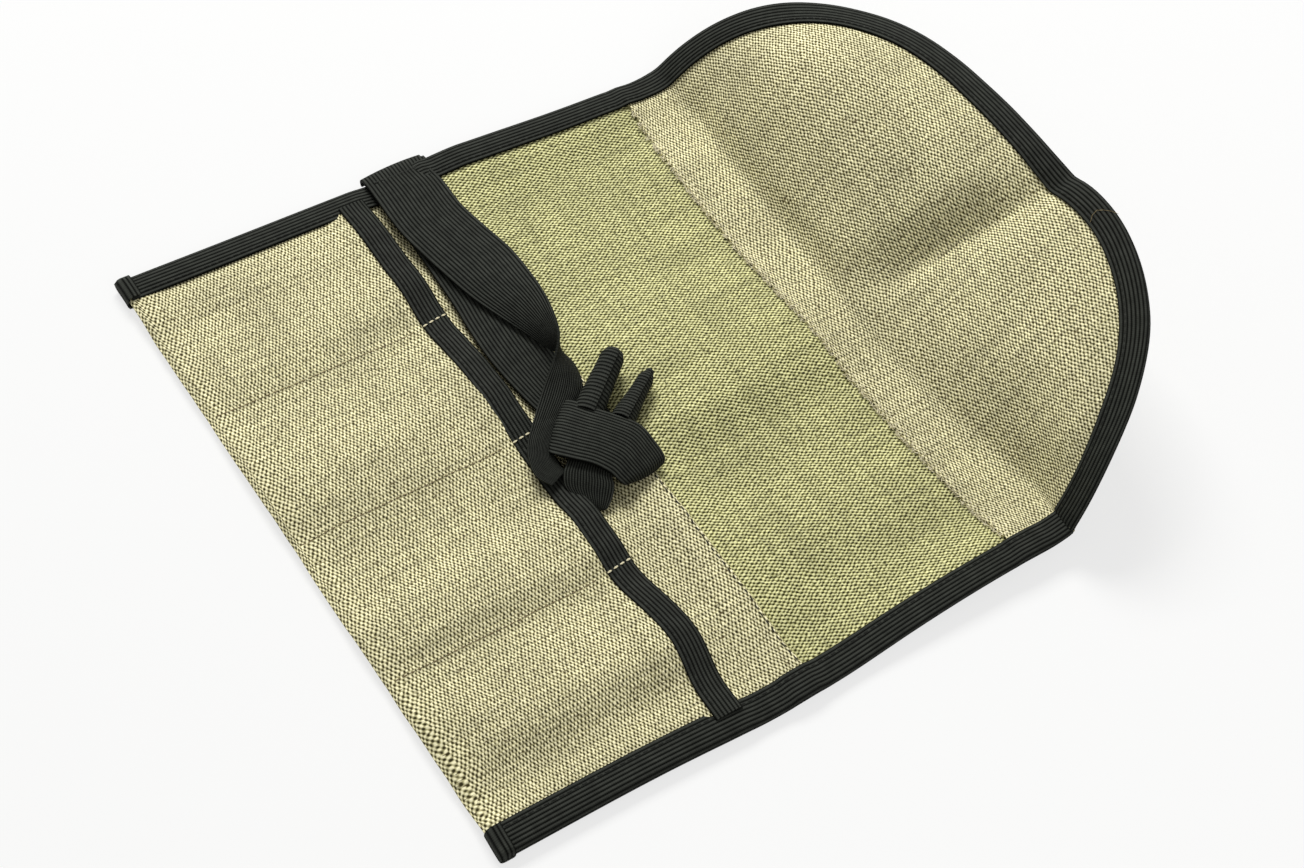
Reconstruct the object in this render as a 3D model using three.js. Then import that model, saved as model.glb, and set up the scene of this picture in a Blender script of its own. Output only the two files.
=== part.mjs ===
// Canvas tool roll, lying open: four pockets, a centre panel, a raised round flap and a knotted tie.
// Millimetres, +Z up. +X runs from the pocket fold to the flap, +Y towards the long edge with the tie.
// The cloth rolls up on the three divider lines, so each cloth is made as one strip per pocket column.
import * as THREE from 'three';
import { mergeVertices } from 'three/addons/utils/BufferGeometryUtils.js';

// Overall sizes
const WIDTH = 250; // across the pockets, over the side bindings
const COLUMNS = 4;
const POCKET_DEPTH = 90.5; // fold to pocket mouth
const SEAM_1 = 117.5; // raw edge of the pocket cloth, lapped over the centre panel
const SEAM_2 = 203; // raw edge of the flap cloth, lapped over the centre panel
const LAP = 8;
const STEP_UP = 6; // length over which the pocket cloth climbs onto the centre panel
const BEND = 220; // crease that the flap stands up from
const FLAP_LENGTH = 90; // crease to flap tip
const FLAP_CORNER = 90; // radius of the flap's two round corners
const FLAP_ROOT_ANGLE = 57; // slope of the raised flap at its crease, degrees
const FLAP_TIP_ANGLE = 11; // slope at its tip, degrees
const FLAP_LEAN = 8; // how much steeper its near edge stands than its middle, and its far edge less, degrees
const TROUGH_DEPTH = 2.4; // of the shallow trough that runs along the flap, at its tip
const TROUGH_WIDTH = 28;
const TROUGH_OFFSET = -14; // from the middle of the roll, below zero away from the tie side
const FLAP_BULGE = 6; // how far the tie side of the flap stands out between its crease, trough and edge
const BAND_RISE = 1.2; // how far the cloth climbs from seam 2 to the crease

// Materials and clearances
const CLOTH = 1; // canvas thickness
const TAPE = 0.8; // tape thickness
const BINDING_TAPE = 25; // width of the binding tape before it is folded
const TIE_TAPE = 25; // width of the tie tape
const THREAD = 0.6; // seam thread, across
const GAP = 0.3; // air between layers
const FOLD_ROOM = 1; // pocket back to a divider line, so that two columns can fold up
const FRONT_ROOM = 2.4; // the same for the pocket fronts, which climb at the mouth
const BAND_ROOM = 2.8; // the same for the raised band
const MOUTH_ROOM = 4.6; // the same for the thick pocket mouth
const THREAD_ROOM = 1.8; // more for the stitching on top of them

// Pockets: how high each front arches, from the near side to the tie side
const PUFF = [8.5, 7, 8.5, 8.5];
const PUFF_START = 45; // distance from the fold at which the arch is full

// Tie: where it is sewn on and how its tails lie
const TIE_CLEAR = 5.5; // from the pocket mouth to the tie's edge
const ROOT_LEG = 8; // tape sewn down on the far edge
const TAIL = 118; // far edge to knot along the tails
const TAIL_BOW = 5; // how high the upper tail bows over the lower one
const TAIL_DRIFT = 7; // how far the upper tail swings towards the flap
const TAIL_TWIST = 60; // degrees it has turned over where it enters the knot
const TAIL_GATHER = 0.55; // share of its width left where it is gathered into the knot
const KNOT_HEIGHT = 11;
const KNOT_SIZE = 38; // along the tie
const KNOT_REACH = 14; // from the tie's middle line towards the flap
const ENDS = [
  { name: 'tie_end_thick', radius: 4.3, tip: 4, length: TIE_TAPE, along: 0.38, tilt: 14 },
  { name: 'tie_end_thin', radius: 3.8, tip: 0.8, length: TIE_TAPE * 0.85, along: 0.8, tilt: 16 },
];
const END_HEADING = 42; // way the rolled tape ends point, degrees from +X towards +Y

// Sizes that follow
const CAVITY = 2 * CLOTH + 3 * GAP; // two lapped cloths fit inside a folded binding
const LEG = (BINDING_TAPE - CAVITY) / 2 - TAPE; // visible width of a binding
const EDGE = WIDTH / 2 - TAPE - GAP; // half width of the cut cloth
const CLEAR = WIDTH / 2 - LEG; // half width between the side bindings
const PITCH = (2 * CLEAR) / COLUMNS;
const STACK = CLOTH + GAP; // height of one more cloth layer
const TIE_X = POCKET_DEPTH + TIE_CLEAR + TIE_TAPE / 2;
const BINDING_TOP = 2 * TAPE + CAVITY;
const CREASE_HEIGHT = BINDING_TOP + BAND_RISE + GAP; // the flap turns about its inner corner
const rad = THREE.MathUtils.degToRad;
const smooth = (x, from, to) => THREE.MathUtils.smoothstep(x, from, to);
const divider = (i) => -CLEAR + PITCH * i; // divider(1) to divider(3) are the stitched lines
const steps = (from, to, n) => Array.from({ length: n + 1 }, (_, k) => from + ((to - from) * k) / n);

// Cloth surfaces: each gives the middle of the cloth at (x, y), or at (s, y) on the flap

const sideLift = (y) => (TAPE + GAP) * smooth(Math.abs(y), CLEAR - LEG, CLEAR);
const level = (x, y, z) => ({ point: new THREE.Vector3(x, y, z), normal: new THREE.Vector3(0, 0, 1) });
const climb = (x) => BAND_RISE * smooth(x, SEAM_2, BEND);
const panelAt = (x, y) => {
  const lift = sideLift(y) * (1 - smooth(x, SEAM_2 + LAP, BEND));
  return level(x, y, CLOTH / 2 + climb(x) + lift);
};
const backAt = (x, y) => {
  const lift = STACK * smooth(x, SEAM_1 - LAP - STEP_UP, SEAM_1 - LAP);
  return level(x, y, panelAt(x, y).point.z + lift);
};
const bandAt = (x, y) => level(x, y, panelAt(x, y).point.z + STACK);
const frontAt = (column) => (x, y) => {
  const across = Math.sin((Math.PI * (y - divider(column))) / PITCH);
  const along = Math.sin((Math.PI / 2) * Math.min(1, x / PUFF_START));
  const mouthLift = (TAPE + GAP) * smooth(x, POCKET_DEPTH - 2 * LEG, POCKET_DEPTH - LEG - GAP);
  const arch = PUFF[column] * across * across * along;
  return level(x, y, panelAt(x, y).point.z + STACK + mouthLift + arch);
};

// The raised flap is bent to an arc of a circle, steepest at its crease. It leans up more at its near edge, a shallow
// trough runs from the crease to the tip, and the cloth beside it on the tie side stands out
const flapHalf = CLOTH / 2 + GAP + TAPE; // half thickness of the bound edge
const rootSlope = rad(FLAP_ROOT_ANGLE);
const rootX = BEND + (flapHalf + GAP) * Math.sin(rootSlope);
const rootZ = CREASE_HEIGHT - (flapHalf + GAP) * Math.cos(rootSlope);
const curl = (rootSlope - rad(FLAP_TIP_ANGLE)) / FLAP_LENGTH;
const flapAt = (s, y) => {
  const slope = rootSlope - curl * s;
  const ahead = (Math.sin(rootSlope) - Math.sin(slope)) / curl;
  const up = (Math.cos(slope) - Math.cos(rootSlope)) / curl;
  const lean = rad(FLAP_LEAN) * ((-2 * y) / WIDTH) * smooth(s, 0, FLAP_LENGTH / 4);
  const normal = new THREE.Vector3(-Math.sin(slope + lean), 0, Math.cos(slope + lean));
  const x = rootX + ahead * Math.cos(lean) - up * Math.sin(lean);
  const z = rootZ + ahead * Math.sin(lean) + up * Math.cos(lean);
  const aside = (y - TROUGH_OFFSET) / (TROUGH_WIDTH / 2);
  const trough = TROUGH_DEPTH * smooth(s, 0, FLAP_LENGTH) * Math.exp(-aside * aside);
  const reach = Math.max(Math.abs(y) - WIDTH / 2 + FLAP_CORNER, 0);
  const cut = FLAP_LENGTH - FLAP_CORNER + Math.sqrt(Math.max(FLAP_CORNER * FLAP_CORNER - reach * reach, 0));
  const across = THREE.MathUtils.clamp((3 * (y - TROUGH_OFFSET)) / WIDTH, 0, 1) * (1 - smooth(y, 0.3 * WIDTH, WIDTH / 2));
  const bulge = FLAP_BULGE * across * smooth(s, 0, FLAP_LENGTH / 4) * smooth(cut - s, 0, 0.4 * FLAP_LENGTH);
  return { point: new THREE.Vector3(x, y, z).addScaledVector(normal, bulge - trough), normal };
};

// Closed bodies

const welded = (geometry) => {
  geometry.deleteAttribute('normal');
  geometry.deleteAttribute('uv');
  const merged = mergeVertices(geometry, 1e-4);
  merged.computeVertexNormals();
  return merged;
};

const move = (geometry, place) => {
  const at = geometry.attributes.position;
  for (let k = 0; k < at.count; k += 1) {
    const p = place(at.getX(k), at.getY(k), at.getZ(k));
    at.setXYZ(k, p.x, p.y, p.z);
  }
  return welded(geometry);
};

// A sheet of cloth: a box of cells bent onto a surface, at the stations us by vs
const sheet = (us, vs, thickness, surface) => {
  const nu = us.length - 1;
  const nv = vs.length - 1;
  const box = new THREE.BoxGeometry(1, 1, 1, nu, nv, 1);
  return move(box, (bx, by, bz) => {
    const u = us[Math.round((bx + 0.5) * nu)];
    const v = vs[Math.round((by + 0.5) * nv)];
    const { point, normal } = surface(u, v);
    return point.addScaledVector(normal, bz * thickness);
  });
};

// A folded binding: its C section runs along an edge, legs inwards, mouth round the cloth's middle
const binding = (edge, cells, surface, below, above) => {
  const c = new THREE.Shape();
  c.moveTo(0, -below - TAPE);
  c.lineTo(LEG, -below - TAPE);
  c.lineTo(LEG, -below);
  c.lineTo(TAPE, -below);
  c.lineTo(TAPE, above);
  c.lineTo(LEG, above);
  c.lineTo(LEG, above + TAPE);
  c.lineTo(0, above + TAPE);
  const bar = new THREE.ExtrudeGeometry(c, { depth: 1, steps: cells, bevelEnabled: false });
  return move(bar, (a, b, t) => {
    const { at, inward } = edge(t);
    const { point, normal } = surface(at.x + inward.x * a, at.y + inward.y * a);
    return point.addScaledVector(normal, b);
  });
};

// A row of stitching: a rib of thread that lies on a surface, from one point to another
const threadRow = (from, to, cells, surface, height) => {
  const along = to.clone().sub(from);
  const aside = new THREE.Vector2(-along.y, along.x).normalize().multiplyScalar(THREAD / 2);
  return sheet(steps(0, 1, cells), [-1, 1], THREAD, (t, side) => {
    const at = from.clone().addScaledVector(along, t).addScaledVector(aside, side);
    const { point, normal } = surface(at.x, at.y);
    return { point: point.addScaledVector(normal, height + GAP + THREAD / 2), normal };
  });
};

const roll = new THREE.Group();
const canvas = { color: 0xb9ad86, roughness: 0.95, metalness: 0 };
const greenCanvas = { color: 0x9a9a63, roughness: 0.95, metalness: 0 };
const blackTape = { color: 0x1d1f1e, roughness: 0.85, metalness: 0 };
const thread = { color: 0xcfc6a6, roughness: 0.8, metalness: 0 };
const blackThread = { color: 0x181a19, roughness: 0.8, metalness: 0 };
const add = (name, geometry, look) => {
  const mesh = new THREE.Mesh(geometry, new THREE.MeshStandardMaterial(look));
  mesh.name = name;
  roll.add(mesh);
  return mesh;
};
const vec = (x, y) => new THREE.Vector2(x, y);

// Pocket cloth: a back that lies flat, a fold at x = 0 and an arched front, with a bound mouth
const backStations = [0, 30, 60, ...steps(SEAM_1 - LAP - STEP_UP, SEAM_1 - LAP, 3), SEAM_1];
const frontStations = [
  ...[0, 5, 14, 24, 34, PUFF_START, 58],
  ...steps(POCKET_DEPTH - 2 * LEG, POCKET_DEPTH - LEG - GAP, 3),
  POCKET_DEPTH - TAPE - GAP,
];
const foldStations = [-3, -2, -1];
const panelStations = [SEAM_1 - LAP, 140, 170, ...steps(SEAM_2, SEAM_2 + LAP, 3)];

// From the fold's lower end round to the front: stations below zero turn the quarter bend
const foldedFrontAt = (column) => (x, y) => {
  if (x >= 0) return frontAt(column)(x, y);
  const turn = (Math.PI / 2) * (-x / foldStations.length);
  const nose = CLOTH / 2 + 2 * GAP;
  return {
    point: new THREE.Vector3(-nose * Math.sin(turn), y, panelAt(x, y).point.z + STACK * Math.cos(turn)),
    normal: new THREE.Vector3(-Math.sin(turn), 0, Math.cos(turn)),
  };
};

for (let i = 0; i < COLUMNS; i += 1) {
  const n = i + 1;
  const first = i === 0;
  const last = i === COLUMNS - 1;
  const side = (room, outer) => [
    first ? -outer : divider(i) + room,
    last ? outer : divider(i + 1) - room,
  ];
  const ease = [CLEAR - LEG, CLEAR - LEG / 2, CLEAR];
  const across = (room) => [
    ...(first ? [-EDGE, ...ease.map((y) => -y).reverse()] : [divider(i) + room]),
    ...(last ? [...ease, EDGE] : [divider(i + 1) - room]),
  ];
  const front = side(FRONT_ROOM, CLEAR - GAP);
  const mouth = side(MOUTH_ROOM, CLEAR - GAP);

  add(`pocket_back_${n}`, sheet(backStations, across(FOLD_ROOM), CLOTH, backAt), canvas);
  add(
    `pocket_front_${n}`,
    sheet([...foldStations, ...frontStations], steps(...front, 10), CLOTH, foldedFrontAt(i)),
    canvas,
  );
  const mouthEdge = (t) => ({
    at: vec(POCKET_DEPTH, THREE.MathUtils.lerp(...mouth, t)),
    inward: vec(-1, 0),
  });
  const half = CLOTH / 2 + GAP;
  add(`mouth_binding_${n}`, binding(mouthEdge, 10, frontAt(i), half, half), blackTape);
  add(`centre_panel_${n}`, sheet(panelStations, across(GAP / 2), CLOTH, panelAt), greenCanvas);
  const bandStations = steps(SEAM_2, BEND - GAP, 6);
  add(`flap_band_${n}`, sheet(bandStations, across(BAND_ROOM), CLOTH, bandAt), canvas);

  // Stitching: two seams across the panel, one along the bound mouth, one on each divider line
  const seamEnds = side(FOLD_ROOM + THREAD_ROOM, CLEAR - GAP);
  const seam = (x, surface) =>
    threadRow(vec(x, seamEnds[0]), vec(x, seamEnds[1]), 12, surface, CLOTH / 2);
  add(`seam_1_thread_${n}`, seam(SEAM_1 - 2, backAt), thread);
  add(`seam_2_thread_${n}`, seam(SEAM_2 + 2, bandAt), thread);
  const mouthRow = POCKET_DEPTH - LEG + 1.5;
  add(
    `mouth_thread_${n}`,
    threadRow(
      vec(mouthRow, mouth[0] + THREAD_ROOM),
      vec(mouthRow, mouth[1] - THREAD_ROOM),
      10,
      frontAt(i),
      half + TAPE,
    ),
    blackThread,
  );
  if (!first) {
    const row = divider(i) + FRONT_ROOM + THREAD_ROOM;
    add(
      `divider_thread_${i}`,
      threadRow(vec(1, row), vec(POCKET_DEPTH - LEG - GAP, row), 8, frontAt(i), CLOTH / 2),
      thread,
    );
  }
}

// Side bindings: folded tape round both long edges, from the pocket fold to the flap's crease
const sideEdge = (y, from, to) => (t) => ({
  at: vec(THREE.MathUtils.lerp(from, to, t), y),
  inward: vec(0, -Math.sign(y)),
});
const railAt = (x, y) => level(x, y, TAPE + climb(x));
const sideCells = 22;
const sideRow = CLEAR + 1.5;
const sideEnds = [-CLOTH - GAP, BEND];
add('side_binding_near', binding(sideEdge(-WIDTH / 2, ...sideEnds), sideCells, railAt, 0, CAVITY), blackTape);
add(
  'side_binding_far',
  binding(sideEdge(WIDTH / 2, ...sideEnds.toReversed()), sideCells, railAt, 0, CAVITY),
  blackTape,
);
add(
  'edge_thread_near',
  threadRow(vec(1, -sideRow), vec(SEAM_2, -sideRow), sideCells, railAt, CAVITY + TAPE),
  blackThread,
);
add(
  'edge_thread_far',
  threadRow(vec(1, sideRow), vec(TIE_X - TIE_TAPE / 2 - 1, sideRow), 8, railAt, CAVITY + TAPE),
  blackThread,
);

// Flap: one strip per column, with its length of the round binding
const cornerCentre = WIDTH / 2 - FLAP_CORNER;
const cornerStart = FLAP_LENGTH - FLAP_CORNER;
const cornerLength = (FLAP_CORNER * Math.PI) / 2;
const halfOutline = cornerStart + cornerLength + cornerCentre;

// A point on the flap's outline, at a distance from the near end of the crease round to its far end
const outlineAt = (distance, inset) => {
  const way = distance < halfOutline ? -1 : 1;
  const run = distance < halfOutline ? distance : 2 * halfOutline - distance;
  const turn = THREE.MathUtils.clamp((run - cornerStart) / FLAP_CORNER, 0, Math.PI / 2);
  const straight = Math.min(run, cornerStart); // along the side, up to its corner
  const tip = Math.max(run - cornerStart - cornerLength, 0); // along the tip, from its corner
  const r = FLAP_CORNER - inset;
  return {
    at: vec(straight + r * Math.sin(turn), way * (cornerCentre + r * Math.cos(turn) - tip)),
    inward: vec(-Math.sin(turn), -way * Math.cos(turn)),
  };
};
const clothInset = TAPE + GAP;
const onCorner = cornerStart + FLAP_CORNER * Math.acos((divider(COLUMNS - 1) - cornerCentre) / FLAP_CORNER);
const cuts = [0, onCorner, halfOutline, 2 * halfOutline - onCorner, 2 * halfOutline]; // at the divider lines
const sewnFrom = 9; // the stitching starts clear of the crease

for (let i = 0; i < COLUMNS; i += 1) {
  const n = i + 1;
  const outer = i === 0 || i === COLUMNS - 1;
  const way = i < COLUMNS / 2 ? -1 : 1;
  const inside = Math.abs(divider(way < 0 ? i + 1 : i)) + GAP / 2;
  const outside = Math.abs(divider(way < 0 ? i : i + 1)) - GAP / 2;
  const r = FLAP_CORNER - clothInset;
  const tipAt = (h) => cornerStart + (h <= cornerCentre ? r : Math.sqrt(r * r - (h - cornerCentre) ** 2));
  const sideAt = (s) => cornerCentre + Math.sqrt(r * r - Math.max(s - cornerStart, 0) ** 2);
  const lastRow = tipAt(inside + LEG / 2); // the corner strip ends under the binding
  const strip = (u, v) => {
    if (outer) {
      const s = THREE.MathUtils.lerp(GAP, lastRow, u);
      return flapAt(s, way * THREE.MathUtils.lerp(inside, sideAt(s), way > 0 ? v : 1 - v));
    }
    const h = THREE.MathUtils.lerp(inside, outside, way > 0 ? v : 1 - v);
    return flapAt(THREE.MathUtils.lerp(GAP, tipAt(h), u), way * h);
  };
  add(`flap_cloth_${n}`, sheet(steps(0, 1, 12), steps(0, 1, 6), CLOTH, strip), canvas);
  const from = cuts[i] + GAP;
  const to = cuts[i + 1] - GAP;
  const cells = outer ? 16 : 10;
  const around = (inset) => (t) => outlineAt(THREE.MathUtils.lerp(from, to, t), inset);
  const half = flapHalf - TAPE;
  add(`flap_binding_${n}`, binding(around(0), cells, flapAt, half, half), blackTape);
  const sewn = steps(Math.max(from, sewnFrom), Math.min(to, 2 * halfOutline - sewnFrom), cells);
  const edgeRow = sheet(sewn, [-1, 1], THREAD, (distance, aside) => {
    const { at } = outlineAt(distance, LEG - 1.5 + (aside * THREAD) / 2);
    const { point, normal } = flapAt(at.x, at.y);
    return { point: point.addScaledVector(normal, flapHalf + GAP + THREAD / 2), normal };
  });
  add(`flap_edge_thread_${n}`, edgeRow, blackThread);
}

// Tie: one tape sewn round the far edge, with two tails that lie over the panel and end in a knot
const wall = WIDTH / 2 + GAP;
const lowerTop = BINDING_TOP + GAP + TAPE;
const upperTop = lowerTop + GAP + TAPE;
const root = new THREE.Shape();
root.moveTo(wall, GAP);
root.lineTo(wall + TAPE, GAP);
root.lineTo(wall + TAPE, upperTop);
root.lineTo(wall - ROOT_LEG, upperTop);
root.lineTo(wall - ROOT_LEG, upperTop - TAPE);
root.lineTo(wall, upperTop - TAPE);
root.lineTo(wall, lowerTop);
root.lineTo(wall - ROOT_LEG, lowerTop);
root.lineTo(wall - ROOT_LEG, lowerTop - TAPE);
root.lineTo(wall, lowerTop - TAPE);
const rootBar = new THREE.ExtrudeGeometry(root, { depth: TIE_TAPE, bevelEnabled: false });
add('tie_root', move(rootBar, (y, z, x) => new THREE.Vector3(TIE_X - TIE_TAPE / 2 + x, y, z)), blackTape);
const tackAt = (x, y) => level(x, y, upperTop);
add(
  'tie_tack_thread',
  threadRow(
    vec(TIE_X - TIE_TAPE / 2 + 1, wall - ROOT_LEG / 2),
    vec(TIE_X + TIE_TAPE / 2 - 1, wall - ROOT_LEG / 2),
    1,
    tackAt,
    0,
  ),
  blackThread,
);

// Tails run from the root towards -Y; the upper one bows up, turns over and is gathered into the knot
const tailStart = wall - ROOT_LEG - GAP;
const tailLength = TAIL - ROOT_LEG;
const restHeight = CLOTH + STACK + THREAD + 2 * GAP + TAPE / 2; // on the lapped pocket cloth and its seam
const lowerAt = (d, side) => {
  const z = THREE.MathUtils.lerp(lowerTop - TAPE / 2, restHeight, smooth(d, 0, tailLength * 0.35));
  return level(TIE_X + side, tailStart - d, z);
};
const upperAt = (d, side) => {
  const twist = rad(TAIL_TWIST) * smooth(d, tailLength * 0.45, tailLength * 0.85);
  const bow = TAIL_BOW * smooth(d, 0, tailLength * 0.5);
  const drift = TAIL_DRIFT * (smooth(d, 0, tailLength * 0.75) - smooth(d, tailLength * 0.75, tailLength));
  const half = side * THREE.MathUtils.lerp(1, TAIL_GATHER, smooth(d, tailLength * 0.6, tailLength));
  const lift = (TIE_TAPE / 2) * Math.sin(twist) * TAIL_GATHER;
  const z = lowerAt(d, 0).point.z + TAPE + GAP + bow + lift;
  return {
    point: new THREE.Vector3(TIE_X + drift + half * Math.cos(twist), tailStart - d, z - half * Math.sin(twist)),
    normal: new THREE.Vector3(Math.sin(twist), 0, Math.cos(twist)),
  };
};
const tail = (surface) =>
  sheet(steps(-TIE_TAPE / 2, TIE_TAPE / 2, 2), steps(tailLength, 0, 14), TAPE, (side, d) => surface(d, side));
add('tie_lower_tail', tail(lowerAt), blackTape);
add('tie_upper_tail', tail(upperAt), blackTape);

// Knot: a flattened overhand knot at the end of the tails, cornerwise, with both rolled ends standing out of it
const knotTop = wall - TAIL - 2 * GAP; // where the knot meets the tails
const knotLow = restHeight - TAPE / 2;
const bevel = KNOT_HEIGHT / 4;
const halfTape = TIE_TAPE / 2;
const knotOutline = [
  [-halfTape, -0.24 * KNOT_SIZE],
  [-0.2 * halfTape, 0],
  [KNOT_REACH, -0.45 * KNOT_SIZE],
  [KNOT_REACH, -0.92 * KNOT_SIZE],
  [0.7 * halfTape, -KNOT_SIZE],
  [-0.5 * halfTape, -KNOT_SIZE],
  [-halfTape, -0.72 * KNOT_SIZE],
];
const knotShape = new THREE.Shape(knotOutline.map(([x, y]) => vec(x, y)).reverse());
const knotBody = new THREE.ExtrudeGeometry(knotShape, {
  depth: KNOT_HEIGHT - 2 * bevel,
  bevelSize: bevel,
  bevelOffset: -bevel,
  bevelThickness: bevel,
  bevelSegments: 2,
});
add('tie_knot', welded(knotBody), blackTape).position.set(TIE_X, knotTop, knotLow + bevel);

for (const end of ENDS) {
  const finger = new THREE.CylinderGeometry(end.tip, end.radius, end.length, 12);
  finger.translate(0, end.length / 2, 0).rotateZ(-Math.PI / 2); // lies along +X from its base
  const mesh = add(end.name, welded(finger), blackTape);
  const heading = rad(END_HEADING);
  mesh.rotation.set(0, -rad(end.tilt), heading, 'ZYX');
  const [, from, to] = knotOutline;
  const out = end.radius * Math.sin(rad(end.tilt)) + GAP; // its leaning base stays clear of the knot
  mesh.position.set(
    TIE_X + THREE.MathUtils.lerp(from[0], to[0], end.along) + out * Math.cos(heading),
    knotTop + THREE.MathUtils.lerp(from[1], to[1], end.along) + out * Math.sin(heading),
    knotLow + KNOT_HEIGHT / 2,
  );
}

// Stand the roll on z = 0, with the middle of its box above the origin
const box = new THREE.Box3().setFromObject(roll);
const middle = box.getCenter(new THREE.Vector3());
roll.position.set(-middle.x, -middle.y, -box.min.z);
roll.updateMatrixWorld(true);

export default roll;
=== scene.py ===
import math
import random

import bmesh
import bpy
from mathutils import Matrix, Vector, noise


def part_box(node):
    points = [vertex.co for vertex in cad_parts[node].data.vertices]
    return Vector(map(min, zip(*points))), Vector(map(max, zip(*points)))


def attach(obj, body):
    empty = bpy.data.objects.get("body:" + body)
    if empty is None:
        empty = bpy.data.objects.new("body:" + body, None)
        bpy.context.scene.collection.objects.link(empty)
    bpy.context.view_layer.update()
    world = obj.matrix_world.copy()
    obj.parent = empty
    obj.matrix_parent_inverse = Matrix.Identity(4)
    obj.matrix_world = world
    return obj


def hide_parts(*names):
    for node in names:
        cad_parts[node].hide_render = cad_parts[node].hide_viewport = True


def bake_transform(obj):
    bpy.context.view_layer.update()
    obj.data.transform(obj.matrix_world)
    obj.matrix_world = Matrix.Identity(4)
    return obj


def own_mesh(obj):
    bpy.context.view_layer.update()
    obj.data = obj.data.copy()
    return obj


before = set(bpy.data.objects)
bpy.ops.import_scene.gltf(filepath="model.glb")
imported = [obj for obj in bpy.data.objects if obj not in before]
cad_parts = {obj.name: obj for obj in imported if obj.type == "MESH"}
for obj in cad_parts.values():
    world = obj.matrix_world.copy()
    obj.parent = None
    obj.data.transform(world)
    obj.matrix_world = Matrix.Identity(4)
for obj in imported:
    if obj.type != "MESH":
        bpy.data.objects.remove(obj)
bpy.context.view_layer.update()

# Studio: a pale floor, one broad soft lamp beyond the far long edge of the roll, a weak one opposite, and an even white
# surround. The camera stands where the photograph was taken from.
scene = bpy.context.scene
scene.view_settings.view_transform = "Standard"


def add_node(tree, kind, inputs=None, **settings):
    made = tree.nodes.new(kind)
    for name, value in settings.items():
        setattr(made, name, value)
    for name, value in (inputs or {}).items():
        if isinstance(value, bpy.types.NodeSocket):
            tree.links.new(value, made.inputs[name])
        else:
            made.inputs[name].default_value = value
    return made


def hex_colour(text):
    parts = [int(text[i:i + 2], 16) / 255 for i in (1, 3, 5)]
    return (*[c / 12.92 if c <= 0.04045 else ((c + 0.055) / 1.055) ** 2.4 for c in parts], 1.0)


def new_material(name):
    made = bpy.data.materials.new(name)
    made.use_nodes = True
    made.node_tree.nodes.clear()
    return made, made.node_tree


def seen_straight(tree):
    """1 for rays that look at the studio straight, in a reflection or through glass, and 0 for its light on the roll."""
    path = add_node(tree, "ShaderNodeLightPath").outputs
    seen = add_node(tree, "ShaderNodeMath", {0: path["Is Camera Ray"], 1: path["Is Glossy Ray"]}, operation="MAXIMUM")
    return add_node(tree, "ShaderNodeMath", {0: seen.outputs[0], 1: path["Is Transmission Ray"]}, operation="MAXIMUM")


# Matt studio paper: seen straight it is lit nearly white, so that only the soft shadow of the roll shows on it.
floor_paper, tree = new_material("matt_studio_paper")
seen = seen_straight(tree)
share = add_node(tree, "ShaderNodeMath", {0: seen.outputs[0], 1: 0.72}, operation="MULTIPLY")
paper = add_node(tree, "ShaderNodeBsdfDiffuse", {"Color": hex_colour("#F7F7F5"), "Roughness": 0.9})
glow = add_node(tree, "ShaderNodeEmission", {"Color": (1, 1, 1, 1), "Strength": 1.0})
both = add_node(tree, "ShaderNodeMixShader", {0: share.outputs[0], 1: paper.outputs[0], 2: glow.outputs[0]})
add_node(tree, "ShaderNodeOutputMaterial", {"Surface": both.outputs[0]})

bm = bmesh.new()
bmesh.ops.create_grid(bm, x_segments=2, y_segments=2, size=4.0)
bmesh.ops.translate(bm, vec=(0, 0, -0.0004), verts=bm.verts[:])
floor_mesh = bpy.data.meshes.new("studio_floor")
bm.to_mesh(floor_mesh)
bm.free()
floor_mesh.materials.append(floor_paper)
studio_floor = bpy.data.objects.new("studio_floor", floor_mesh)
scene.collection.objects.link(studio_floor)

surround = bpy.data.worlds.new("white_surround")
surround.use_nodes = True
tree = surround.node_tree
tree.nodes.clear()
seen = seen_straight(tree)
strength = add_node(tree, "ShaderNodeMapRange", {0: seen.outputs[0], 1: 0.0, 2: 1.0, 3: 0.28, 4: 1.0})
sky = add_node(tree, "ShaderNodeBackground", {"Color": (1, 1, 1, 1), "Strength": strength.outputs[0]})
add_node(tree, "ShaderNodeOutputWorld", {"Surface": sky.outputs[0]})
scene.world = surround

for name, size, watts, stand, aim in (
        ("soft_lamp", (0.7, 0.5), 22.0, (0.2, 0.9, 1.05), (0.02, 0, 0)),
        ("fill_lamp", (0.5, 0.4), 0.5, (-0.12, -0.42, 0.55), (0.08, -0.06, 0))):
    light = bpy.data.lights.new(name, "AREA")
    light.shape = "RECTANGLE"
    light.size, light.size_y = size
    light.energy = watts
    lamp = bpy.data.objects.new(name, light)
    lamp.location = stand
    lamp.rotation_euler = (Vector(aim) - lamp.location).to_track_quat("-Z", "Y").to_euler()
    scene.collection.objects.link(lamp)

lens = bpy.data.cameras.new("camera")
lens.lens, lens.sensor_width, lens.sensor_fit = 63.97877, 36.0, "HORIZONTAL"
lens.clip_start, lens.clip_end = 0.05, 20.0
camera = bpy.data.objects.new("camera", lens)
camera.location = (-0.35557, -0.34835, 0.62913)
camera.rotation_euler = [math.radians(a) for a in (36.117378, -8.221312, -34.244965)]
scene.collection.objects.link(camera)
scene.camera = camera

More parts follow.
